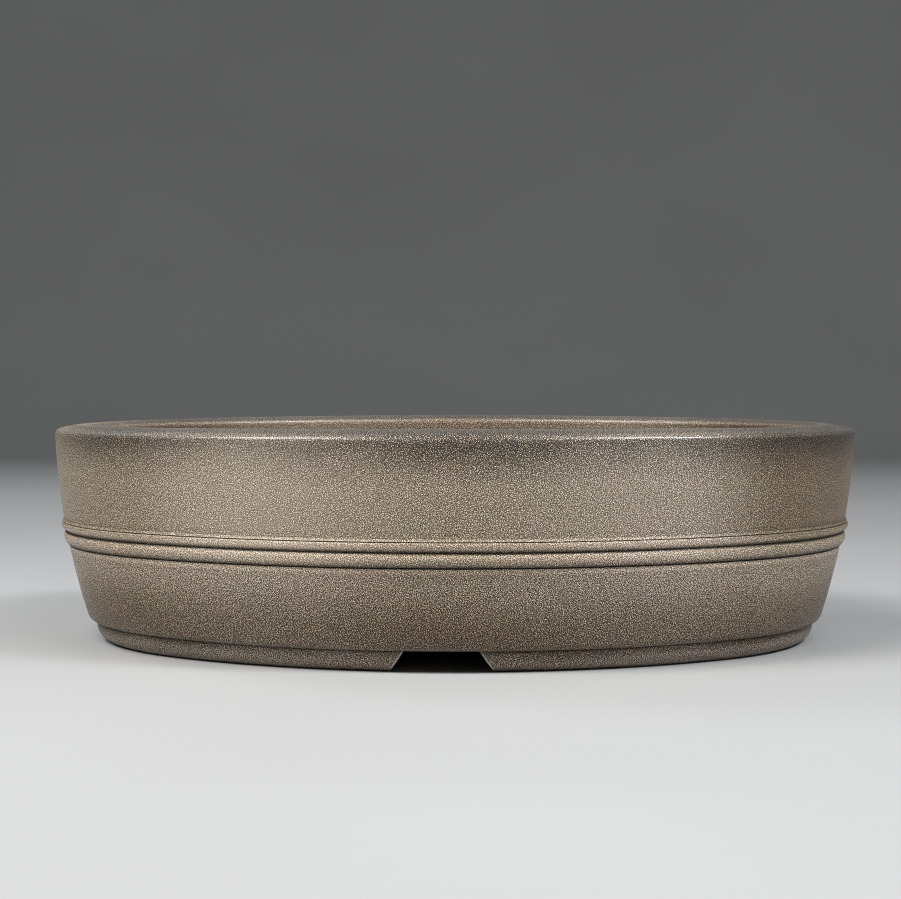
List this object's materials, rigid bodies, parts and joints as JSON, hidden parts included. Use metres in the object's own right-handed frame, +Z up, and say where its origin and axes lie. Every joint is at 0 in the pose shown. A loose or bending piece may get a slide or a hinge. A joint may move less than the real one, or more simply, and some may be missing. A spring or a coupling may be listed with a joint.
{
  "type": "bonsai pot",
  "caption": "Oval unglazed stoneware bonsai pot with a crowned inturned lip, a beaded band round the wall, a split foot ring and screened drain holes.",
  "frame": {"origin": "middle of the pot, on the surface that the feet stand on", "axes": "+X along the pot's length to the right seen from the front, +Y to the rear, +Z up"},
  "size_m": [0.3, 0.232, 0.081],
  "materials": {
    "stoneware": "unglazed, sand-speckled grey-brown stoneware",
    "screen_plastic": "moulded black-green mesh",
    "clip_wire": "bare soft wire, lightly dulled"
  },
  "bodies": {
    "root": {"base_slab": "stoneware", "side_wall": "stoneware", "corner_coil": "stoneware", "rim_lip": "stoneware", "upper_band": "stoneware", "lower_band": "stoneware", "left_foot": "stoneware", "right_foot": "stoneware", "left_drain_screen": "screen_plastic", "right_drain_screen": "screen_plastic", "left_screen_clip": "clip_wire", "right_screen_clip": "clip_wire"}
  },
  "joints": []
}
